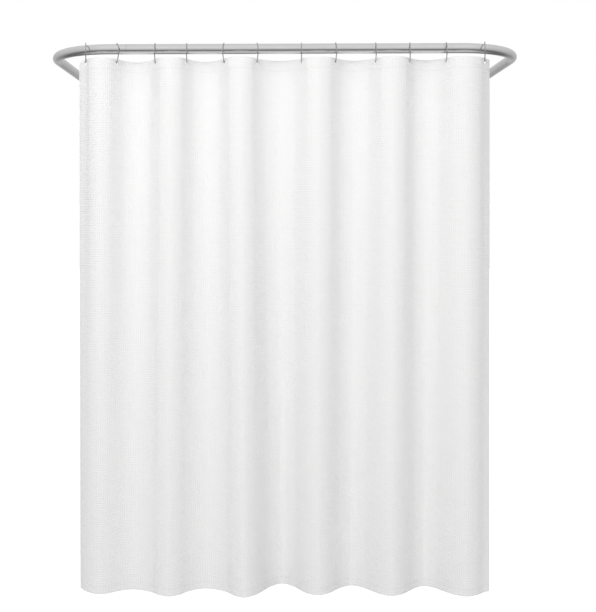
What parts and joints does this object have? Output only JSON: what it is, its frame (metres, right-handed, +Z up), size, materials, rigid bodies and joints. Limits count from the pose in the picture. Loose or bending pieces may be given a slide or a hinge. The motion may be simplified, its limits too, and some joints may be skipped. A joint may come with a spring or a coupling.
{
  "type": "shower curtain",
  "caption": "White waffle-weave shower curtain hung in soft folds by wire hooks from a U-shaped bright metal rod with wall brackets and covers.",
  "frame": {"origin": "on the wall plane, midway between the two legs, at the height of the rod axis", "axes": "+X to the right along the front run, +Y into the wall, +Z up"},
  "size_m": [1.72, 0.9745, 1.8968],
  "materials": {
    "cloth": "matt waffle weave",
    "hem": "matt waffle weave, folded and stitched",
    "tube": "satin bright",
    "wire": "polished",
    "cover": "satin bright",
    "fixing": "plain zinc"
  },
  "bodies": {
    "rod": {"front_tube": "tube", "left_corner_tube": "tube", "left_leg_tube": "tube", "left_front_joiner": "fixing", "left_leg_joiner": "fixing", "left_front_joiner_screw_1": "fixing", "left_front_joiner_screw_2": "fixing", "left_leg_joiner_screw_1": "fixing", "left_leg_joiner_screw_2": "fixing", "left_wall_bracket": "fixing", "left_bracket_screw": "fixing", "left_wall_screw_1": "fixing", "left_wall_screw_2": "fixing", "left_wall_screw_3": "fixing", "right_corner_tube": "tube", "right_leg_tube": "tube", "right_front_joiner": "fixing", "right_leg_joiner": "fixing", "right_front_joiner_screw_1": "fixing", "right_front_joiner_screw_2": "fixing", "right_leg_joiner_screw_1": "fixing", "right_leg_joiner_screw_2": "fixing", "right_wall_bracket": "fixing", "right_bracket_screw": "fixing", "right_wall_screw_1": "fixing", "right_wall_screw_2": "fixing", "right_wall_screw_3": "fixing"},
    "hook_01": {"hook_01": "wire"},
    "hook_02": {"hook_02": "wire"},
    "hook_03": {"hook_03": "wire"},
    "hook_04": {"hook_04": "wire"},
    "hook_05": {"hook_05": "wire"},
    "hook_06": {"hook_06": "wire"},
    "hook_07": {"hook_07": "wire"},
    "hook_08": {"hook_08": "wire"},
    "hook_09": {"hook_09": "wire"},
    "hook_10": {"hook_10": "wire"},
    "hook_11": {"hook_11": "wire"},
    "hook_12": {"hook_12": "wire"},
    "curtain": {"header_band": "hem", "curtain_panel": "cloth", "bottom_hem": "hem", "left_side_hem": "hem", "right_side_hem": "hem"},
    "left_cover": {"left_wall_cover": "cover"},
    "right_cover": {"right_wall_cover": "cover"}
  },
  "joints": [
    {"name": "hook_01_slide", "type": "slide", "parent": "rod", "child": "hook_01", "axis": [1, 0, 0], "range_m": [0, 1.005], "deforming": ["header_band", "curtain_panel", "bottom_hem", "left_side_hem", "right_side_hem"]},
    {"name": "hook_02_slide", "type": "slide", "parent": "rod", "child": "hook_02", "axis": [1, 0, 0], "range_m": [0, 0.925]},
    {"name": "hook_03_slide", "type": "slide", "parent": "rod", "child": "hook_03", "axis": [1, 0, 0], "range_m": [0, 0.825]},
    {"name": "hook_04_slide", "type": "slide", "parent": "rod", "child": "hook_04", "axis": [1, 0, 0], "range_m": [0, 0.743]},
    {"name": "hook_05_slide", "type": "slide", "parent": "rod", "child": "hook_05", "axis": [1, 0, 0], "range_m": [0, 0.646]},
    {"name": "hook_06_slide", "type": "slide", "parent": "rod", "child": "hook_06", "axis": [1, 0, 0], "range_m": [0, 0.561]},
    {"name": "hook_07_slide", "type": "slide", "parent": "rod", "child": "hook_07", "axis": [1, 0, 0], "range_m": [0, 0.446]},
    {"name": "hook_08_slide", "type": "slide", "parent": "rod", "child": "hook_08", "axis": [1, 0, 0], "range_m": [0, 0.357]},
    {"name": "hook_09_slide", "type": "slide", "parent": "rod", "child": "hook_09", "axis": [1, 0, 0], "range_m": [0, 0.253]},
    {"name": "hook_10_slide", "type": "slide", "parent": "rod", "child": "hook_10", "axis": [1, 0, 0], "range_m": [0, 0.164]},
    {"name": "hook_11_slide", "type": "slide", "parent": "rod", "child": "hook_11", "axis": [1, 0, 0], "range_m": [0, 0.071]},
    {"name": "hook_12_slide", "type": "slide", "parent": "rod", "child": "hook_12", "axis": [1, 0, 0], "range_m": [-0.033, 0]},
    {"name": "curtain_swing", "type": "hinge", "parent": "rod", "child": "curtain", "pos_m": [0, -0.914, -0.04582], "axis": [1, 0, 0], "range_deg": [-10, 10]},
    {"name": "left_cover_slide", "type": "slide", "parent": "rod", "child": "left_cover", "axis": [0, -1, 0], "range_m": [0, 0.55]},
    {"name": "right_cover_slide", "type": "slide", "parent": "rod", "child": "right_cover", "axis": [0, -1, 0], "range_m": [0, 0.55]}
  ],
  "couplings": [
    {"joint": "hook_02_slide", "follows": "hook_01_slide", "ratio": 0.919},
    {"joint": "hook_03_slide", "follows": "hook_01_slide", "ratio": 0.81943},
    {"joint": "hook_04_slide", "follows": "hook_01_slide", "ratio": 0.73792},
    {"joint": "hook_05_slide", "follows": "hook_01_slide", "ratio": 0.64196},
    {"joint": "hook_06_slide", "follows": "hook_01_slide", "ratio": 0.55683},
    {"joint": "hook_07_slide", "follows": "hook_01_slide", "ratio": 0.4423},
    {"joint": "hook_08_slide", "follows": "hook_01_slide", "ratio": 0.3546},
    {"joint": "hook_09_slide", "follows": "hook_01_slide", "ratio": 0.2509},
    {"joint": "hook_10_slide", "follows": "hook_01_slide", "ratio": 0.16268},
    {"joint": "hook_11_slide", "follows": "hook_01_slide", "ratio": 0.0693},
    {"joint": "hook_12_slide", "follows": "hook_01_slide", "ratio": -0.031818}
  ]
}
